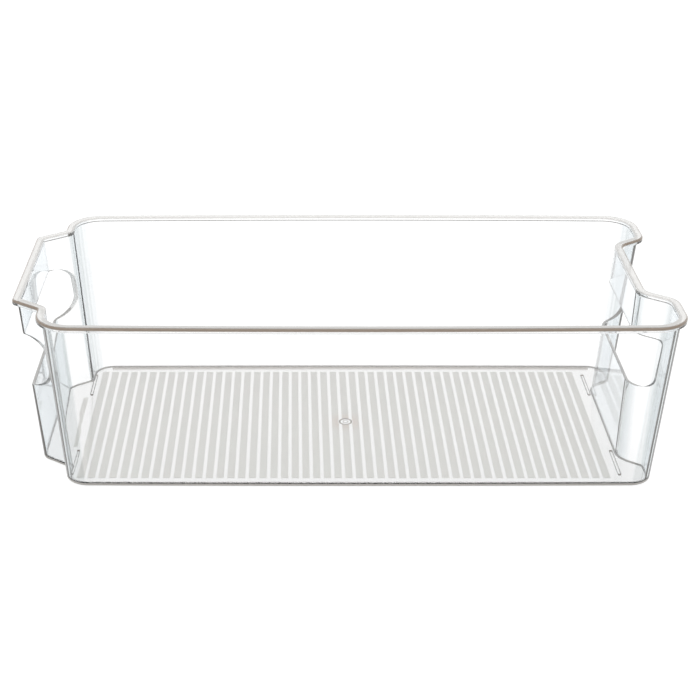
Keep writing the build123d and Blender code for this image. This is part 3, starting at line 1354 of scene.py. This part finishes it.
@dataclass(kw_only=True)
class FrostedBars(SubAssembly):
    """The frosted bars: straight ones from Geometry Nodes, those round the gate mark by hand."""

    underside: Underside
    finish: bpy.types.Material
    slot: Slot = Slot.FROSTED
    relief: float = 0.15 * MM

    def tree(self) -> bpy.types.NodeTree:
        """Geometry Nodes that repeat a bar, with named inputs for the sizes of the row."""
        tree = bpy.data.node_groups.new("frosted_bars", "GeometryNodeTree")
        sides = tree.interface
        sides.new_socket("Bar", in_out="INPUT", socket_type="NodeSocketGeometry")
        sides.new_socket("Count", in_out="INPUT", socket_type="NodeSocketInt")
        sides.new_socket("Pitch", in_out="INPUT", socket_type="NodeSocketFloat")
        sides.new_socket("First", in_out="INPUT", socket_type="NodeSocketVector")
        sides.new_socket("Left Out From", in_out="INPUT", socket_type="NodeSocketInt")
        sides.new_socket("Left Out To", in_out="INPUT", socket_type="NodeSocketInt")
        sides.new_socket("Bars", in_out="OUTPUT", socket_type="NodeSocketGeometry")
        given = add_node(tree, "NodeGroupInput").outputs
        step = add_node(tree, "ShaderNodeCombineXYZ", {"X": given["Pitch"]})
        line = add_node(
            tree, "GeometryNodeMeshLine",
            {"Count": given["Count"], "Start Location": given["First"], "Offset": step.outputs[0]},
            mode="OFFSET",
        )
        index = add_node(tree, "GeometryNodeInputIndex").outputs[0]
        after = add_node(
            tree, "FunctionNodeCompare", {2: index, 3: given["Left Out From"]},
            data_type="INT", operation="GREATER_EQUAL",
        )
        before = add_node(
            tree, "FunctionNodeCompare", {2: index, 3: given["Left Out To"]},
            data_type="INT", operation="LESS_EQUAL",
        )
        both = add_node(
            tree, "FunctionNodeBooleanMath", {0: after.outputs[0], 1: before.outputs[0]},
            operation="AND",
        )
        places = add_node(
            tree, "GeometryNodeDeleteGeometry",
            {"Geometry": line.outputs[0], "Selection": both.outputs[0]},
            domain="POINT",
        )
        copies = add_node(
            tree, "GeometryNodeInstanceOnPoints",
            {"Points": places.outputs[0], "Instance": given["Bar"]},
        )
        real = add_node(tree, "GeometryNodeRealizeInstances", {"Geometry": copies.outputs[0]})
        worn = add_node(
            tree, "GeometryNodeSetMaterial", {"Geometry": real.outputs[0], "Material": self.finish})
        add_node(tree, "NodeGroupOutput", {0: worn.outputs[0]})
        return tree

    def add_bar(self, skin: Skin, loop: np.ndarray, base: float) -> None:
        """Adds one bar with flat faces, open where it joins the floor.

        Args:
            skin: Takes the faces.
            loop: Outline of the bar, anticlockwise.
            base: Height of the floor's underside.
        """
        tip = base - self.relief
        for i, start in enumerate(loop):
            end = loop[(i + 1) % len(loop)]
            points = np.array([(*start, base), (*end, base), (*end, tip), (*start, tip)])
            run = (end - start) / np.linalg.norm(end - start)
            skin.add(Ring(points, np.tile((run[1], -run[0], 0.0), (4, 1))), [(0, 1, 2, 3)])
        add_flat(skin, tip, -1.0, loop)

    def flat_mesh(self, skin: Skin, base: float) -> bmesh.types.BMesh:
        """The skin's closed mesh, to be shaded flat."""
        mesh = skin.solid()
        layer = mesh.verts.layers.float_vector["smooth"]
        for vertex in mesh.verts:
            vertex[layer] = (0.0, 0.0, 0.0)
        close(mesh, [Plane(2, base)])
        return mesh

    def build(self) -> list[bpy.types.Object]:
        """Makes the bars as one object."""
        under, base = self.underside, self.outline.sizes.underside
        places, cut = under.bar_places(), under.cut_bars()
        one = Skin()
        corners = np.array([(1, -1), (1, 1), (-1, 1), (-1, -1)])
        self.add_bar(one, corners * (under.bar_width / 2, under.bar_length / 2), 0.0)
        made = to_object("frosted_bars_skin", self.flat_mesh(one, 0.0))
        modifier = made.modifiers.new("bars", "NODES")
        modifier.node_group = self.tree()
        values = {
            "Count": len(places), "Pitch": under.bar_pitch, "First": (places[0], 0.0, base),
            "Left Out From": cut[0], "Left Out To": cut[-1],
        }
        for item in modifier.node_group.interface.items_tree:
            if item.in_out == "INPUT" and item.name in values:
                modifier[item.identifier] = values[item.name]
        bpy.context.view_layer.update()
        evaluated = made.evaluated_get(bpy.context.evaluated_depsgraph_get())
        repeated = bpy.data.meshes.new_from_object(evaluated)
        made.modifiers.clear()
        by_hand = Skin()
        for loop in [loop for i in cut for loop in under.bar_loops(i)] + [under.short_bar_loop()]:
            self.add_bar(by_hand, loop, base)
        others = bpy.data.meshes.new("bars_by_hand")
        mesh = self.flat_mesh(by_hand, base)
        mesh.to_mesh(others)
        mesh.free()
        whole = bmesh.new()
        for data in (repeated, others):
            whole.from_mesh(data)
        for face in whole.faces:
            face.smooth = False
            face.material_index = CLOSING if face.normal.z > UPWARD else 0
        whole.to_mesh(made.data)
        whole.free()
        return [made]


def linear(colour: str) -> tuple[float, float, float, float]:
    """An sRGB hex colour as linear values with full alpha."""
    values = [int(colour[i:i + 2], 16) / 255 for i in (1, 3, 5)]
    return (*(v / 12.92 if v <= 0.04045 else ((v + 0.055) / 1.055) ** 2.4 for v in values), 1.0)


def empty_material(name: str) -> tuple[bpy.types.Material, bpy.types.NodeTree]:
    """A new material and its empty tree."""
    made = bpy.data.materials.new(name)
    made.use_nodes = True
    made.node_tree.nodes.clear()
    return made, made.node_tree


@dataclass(frozen=True)
class ClearPolystyrene:
    """Crystal polystyrene from a polished mould: water-clear, with a faint flow ripple.

    Real plastic gathers what is dark round it at its edges and rounded corners. Painted shade
    stands in for that here. The attribute edge paints warm grey shade on the moulded edges, and
    blur makes them pale and dull. Layer Weight paints a cool shade on upright faces that are seen
    nearly along the surface and, with the corner shade attribute, paints grey shade and dark lines
    on the rounded corners, so these painted lines change with the direction of view.
    """

    name: str = "clear_polystyrene_polished"
    colour: str = "#FFFFFF"
    grazing_shade_colour: str = "#E9EEF1"
    corner_shade_colour: str = "#D8DDDE"
    blur_colour: str = "#F1EFEB"
    edge_shade_colour: str = "#A08F7F"
    corner_line_shade_colour: str = "#55504A"
    ior: float = 1.59
    roughness: float = 0.015
    ripple_length: float = 30.0 * MM
    ripple_height: float = 0.004 * MM
    grazing_shade_range: tuple[float, float] = (0.12, 0.26)
    corner_shade_range: tuple[float, float] = (0.03, 0.2)
    corner_line_range: tuple[float, float] = (0.5, 0.7)

    def material(self) -> bpy.types.Material:
        """The finish as a material."""
        made, tree = empty_material(self.name)
        place = add_node(tree, "ShaderNodeTexCoord")
        ripple = add_node(
            tree, "ShaderNodeTexNoise",
            {"Vector": place.outputs["Object"], "Scale": 1 / self.ripple_length, "Detail": 1.0},
        )
        bump = add_node(
            tree, "ShaderNodeBump",
            {"Height": ripple.outputs["Fac"], "Distance": self.ripple_height, "Strength": 1.0},
        )
        bend, edge, blur = (
            add_node(tree, "ShaderNodeAttribute", attribute_name=name).outputs["Fac"]
            for name in ("bend", "edge", "blur")
        )
        # Layer Weight: painted shade grows where a surface is seen nearly along it.
        along = add_node(tree, "ShaderNodeLayerWeight", {"Blend": 0.5}).outputs["Facing"]
        corner_shade_along = add_node(tree, "ShaderNodeMath", {0: bend, 1: along}, operation="MULTIPLY").outputs[0]
        grazing_shade, wide_corner_shade, corner_line_shade = (
            add_node(
                tree, "ShaderNodeMapRange", {"Value": value, "From Min": low, "From Max": high},
                interpolation_type="SMOOTHSTEP",
            ).outputs[0]
            for value, (low, high) in (
                (along, self.grazing_shade_range), (corner_shade_along, self.corner_shade_range), (corner_shade_along, self.corner_line_range),
            )
        )
        facing = add_node(tree, "ShaderNodeNewGeometry").outputs["Normal"]
        lean = add_node(tree, "ShaderNodeSeparateXYZ", {0: facing}).outputs["Z"]
        level = add_node(tree, "ShaderNodeMath", {0: lean, 1: lean}, operation="MULTIPLY").outputs[0]
        upright = add_node(
            tree, "ShaderNodeMath", {0: 1.0, 1: level}, operation="SUBTRACT").outputs[0]
        grazing_shade = add_node(
            tree, "ShaderNodeMath", {0: grazing_shade, 1: upright}, operation="MULTIPLY").outputs[0]
        colour: Union[tuple[float, ...], bpy.types.NodeSocket] = linear(self.colour)
        # Painted shade: grazing and corner shades follow the view, the edge shade its attribute; blur
        # only pales.
        for share, shade in (
            (grazing_shade, self.grazing_shade_colour), (wide_corner_shade, self.corner_shade_colour), (blur, self.blur_colour),
            (edge, self.edge_shade_colour), (corner_line_shade, self.corner_line_shade_colour),
        ):
            mixed = add_node(
                tree, "ShaderNodeMix", {0: share, 6: colour, 7: linear(shade)}, data_type="RGBA")
            colour = mixed.outputs[2]
        # Painted shade lines and the pale blur stop light passing through.
        dull = add_node(tree, "ShaderNodeMath", {0: edge, 1: corner_line_shade}, operation="MAXIMUM")
        dull = add_node(tree, "ShaderNodeMath", {0: dull.outputs[0], 1: blur}, operation="MAXIMUM")
        open_share = add_node(tree, "ShaderNodeMath", {0: 1.0, 1: dull.outputs[0]}, operation="SUBTRACT")
        shader = add_node(
            tree, "ShaderNodeBsdfPrincipled",
            {
                "Base Color": colour, "Roughness": self.roughness, "IOR": self.ior,
                "Transmission Weight": open_share.outputs[0], "Normal": bump.outputs["Normal"],
            },
        )
        add_node(tree, "ShaderNodeOutputMaterial", {"Surface": shader.outputs[0]})
        return made


@dataclass(frozen=True)
class FrostedPolystyrene:
    """The same plastic from a spark-eroded patch of the mould: it scatters what lies behind it.

    The grain is drawn coarser than real grain, so that it shows. The slow change of tone breaks
    up flat grey, and the warm blush lies round the gate mark.
    """

    gate: tuple[float, float, float]
    name: str = "clear_polystyrene_frosted"
    colour: str = "#E9EDE3"
    other_colour: str = "#ECE8E2"
    blush_colour: str = "#E6D8CC"
    tone_length: float = 25.0 * MM
    blush_range: tuple[float, float] = (4.0 * MM, 15.0 * MM)
    ior: float = 1.59
    roughness: float = 0.4
    grain: float = 0.4 * MM
    grain_height: float = 0.02 * MM

    def material(self) -> bpy.types.Material:
        """The finish as a material."""
        made, tree = empty_material(self.name)
        place = add_node(tree, "ShaderNodeTexCoord")
        grain = add_node(
            tree, "ShaderNodeTexNoise",
            {"Vector": place.outputs["Object"], "Scale": 1 / self.grain, "Detail": 2.0},
        )
        bump = add_node(
            tree, "ShaderNodeBump",
            {"Height": grain.outputs["Fac"], "Distance": self.grain_height, "Strength": 1.0},
        )
        slow = add_node(
            tree, "ShaderNodeTexNoise",
            {"Vector": place.outputs["Object"], "Scale": 1 / self.tone_length, "Detail": 1.0},
        )
        tone = add_node(
            tree, "ShaderNodeMix",
            {0: slow.outputs["Fac"], 6: linear(self.colour), 7: linear(self.other_colour)},
            data_type="RGBA",
        )
        reach = add_node(
            tree, "ShaderNodeVectorMath", {0: place.outputs["Object"], 1: self.gate},
            operation="DISTANCE",
        )
        near, far = self.blush_range
        blush = add_node(
            tree, "ShaderNodeMapRange",
            {"Value": reach.outputs["Value"], "From Min": far, "From Max": near},
            interpolation_type="SMOOTHSTEP",
        )
        colour = add_node(
            tree, "ShaderNodeMix",
            {0: blush.outputs[0], 6: tone.outputs[2], 7: linear(self.blush_colour)}, data_type="RGBA",
        )
        shader = add_node(
            tree, "ShaderNodeBsdfPrincipled",
            {
                "Base Color": colour.outputs[2], "Roughness": self.roughness, "IOR": self.ior,
                "Transmission Weight": 1.0, "Normal": bump.outputs["Normal"],
            },
        )
        add_node(tree, "ShaderNodeOutputMaterial", {"Surface": shader.outputs[0]})
        return made


@dataclass(frozen=True)
class UnbrokenPlastic:
    """Where one piece runs on into the next: the real moulding has no surface there to see."""

    name: str = "unbroken_plastic"

    def material(self) -> bpy.types.Material:
        """The finish as a material."""
        made, tree = empty_material(self.name)
        clear = add_node(tree, "ShaderNodeBsdfTransparent", {"Color": (1.0, 1.0, 1.0, 1.0)})
        add_node(tree, "ShaderNodeOutputMaterial", {"Surface": clear.outputs[0]})
        return made


@dataclass(kw_only=True)
class Studio:
    """A pale floor, soft light all round and the camera at the photograph's angle.

    Its greys and the tints of its sky are linear values.
    """

    camera_place: tuple[float, float, float] = (-29.208 * MM, -883.15 * MM, 446.6 * MM)
    camera_pitch: float = 24.234
    focal_pixels: float = 1628.61
    principal_x: float = 292.614
    frame_pixels: float = 700.0
    sensor: float = 36.0
    clip: tuple[float, float] = (0.01, 100.0)
    floor_size: float = 12.0
    floor_drop: float = 0.1 * MM
    floor_grey: float = 0.25
    floor_glow: float = 0.9
    lamp_white: float = 0.95
    horizon: tuple[float, float, float] = (0.97, 0.985, 1.0)
    overhead: tuple[float, float, float] = (0.42, 0.385, 0.35)
    horizon_height: float = 0.3
    overhead_height: float = 0.6

    def camera(self) -> bpy.types.Object:
        """The camera, with the shift that the photograph's crop needs."""
        data = bpy.data.cameras.new("camera")
        data.sensor_width = self.sensor
        data.lens = self.focal_pixels / self.frame_pixels * self.sensor
        data.shift_x = (self.frame_pixels / 2 - self.principal_x) / self.frame_pixels
        data.clip_start, data.clip_end = self.clip
        made = bpy.data.objects.new("camera", data)
        made.location = self.camera_place
        made.rotation_euler = (radians(90 - self.camera_pitch), 0.0, 0.0)
        bpy.context.scene.collection.objects.link(made)
        bpy.context.scene.camera = made
        return made

    def seen(self, tree: bpy.types.NodeTree) -> bpy.types.NodeSocket:
        """An output that is 1 for rays from the camera and through or off glass, otherwise 0."""
        path = add_node(tree, "ShaderNodeLightPath").outputs
        first = add_node(
            tree, "ShaderNodeMath", {0: path["Is Camera Ray"], 1: path["Is Glossy Ray"]},
            operation="MAXIMUM",
        )
        return add_node(
            tree, "ShaderNodeMath", {0: first.outputs[0], 1: path["Is Transmission Ray"]},
            operation="MAXIMUM",
        ).outputs[0]

    def floor(self) -> bpy.types.Object:
        """The floor, white where it is seen and still darkened by the object's shadow."""
        half, z = self.floor_size / 2, -self.floor_drop
        data = bpy.data.meshes.new("studio_floor")
        corners = [(-half, -half, z), (half, -half, z), (half, half, z), (-half, half, z)]
        data.from_pydata(corners, [], [(0, 1, 2, 3)])
        made = bpy.data.objects.new("studio_floor", data)
        bpy.context.scene.collection.objects.link(made)
        paper, tree = empty_material("seamless_white_paper")
        lit = add_node(tree, "ShaderNodeBsdfDiffuse", {"Color": (*[self.floor_grey] * 3, 1.0)})
        glow = add_node(tree, "ShaderNodeEmission", {"Strength": self.seen(tree)})
        glow.inputs["Color"].default_value = (*[self.floor_glow] * 3, 1.0)
        both = add_node(tree, "ShaderNodeAddShader", {0: lit.outputs[0], 1: glow.outputs[0]})
        add_node(tree, "ShaderNodeOutputMaterial", {"Surface": both.outputs[0]})
        data.materials.append(paper)
        return made

    def world(self) -> None:
        """White from every side, and darker overhead for seen rays, which greys curved plastic."""
        made = bpy.data.worlds.new("studio")
        made.use_nodes = True
        tree = made.node_tree
        tree.nodes.clear()
        place = add_node(tree, "ShaderNodeTexCoord")
        height = add_node(tree, "ShaderNodeSeparateXYZ", {0: place.outputs["Generated"]})
        ramp = add_node(tree, "ShaderNodeValToRGB", {0: height.outputs["Z"]})
        stops = ramp.color_ramp.elements
        stops[0].position, stops[0].color = self.horizon_height, (*self.horizon, 1)
        stops[1].position, stops[1].color = self.overhead_height, (*self.overhead, 1)
        sky = add_node(tree, "ShaderNodeBackground", {"Color": ramp.outputs[0], "Strength": 1.0})
        plain = add_node(
            tree, "ShaderNodeBackground",
            {"Color": (1.0, 1.0, 1.0, 1.0), "Strength": self.lamp_white},
        )
        both = add_node(
            tree, "ShaderNodeMixShader", {0: self.seen(tree), 1: plain.outputs[0], 2: sky.outputs[0]})
        add_node(tree, "ShaderNodeOutputWorld", {0: both.outputs[0]})
        bpy.context.scene.world = made


def main() -> None:
    """Builds the bin in order and sets up the studio."""
    outline = Outline()
    underside = Underside(outline=outline)
    wall = WallRing(outline=outline)
    gate = (underside.gate_place, 0.0, outline.sizes.underside)
    finishes = {
        Slot.CLEAR: ClearPolystyrene().material(),
        Slot.FROSTED: FrostedPolystyrene(gate).material(),
    }
    closing = UnbrokenPlastic().material()
    parts: list[SubAssembly] = [
        wall,
        Rim(outline=outline),
        FloorPlate(outline=outline, underside=underside, wall_foot=wall.foot_fillet),
        Feet(outline=outline, underside=underside),
        GateMark(outline=outline, underside=underside),
        FrostedBars(outline=outline, underside=underside, finish=finishes[Slot.FROSTED]),
    ]
    for part in parts:
        part.dress(part.build(), finishes[part.slot], closing)
    studio = Studio()
    studio.camera()
    studio.floor()
    studio.world()
    bpy.context.scene.view_settings.view_transform = "Standard"


if __name__ == "__main__":
    main()
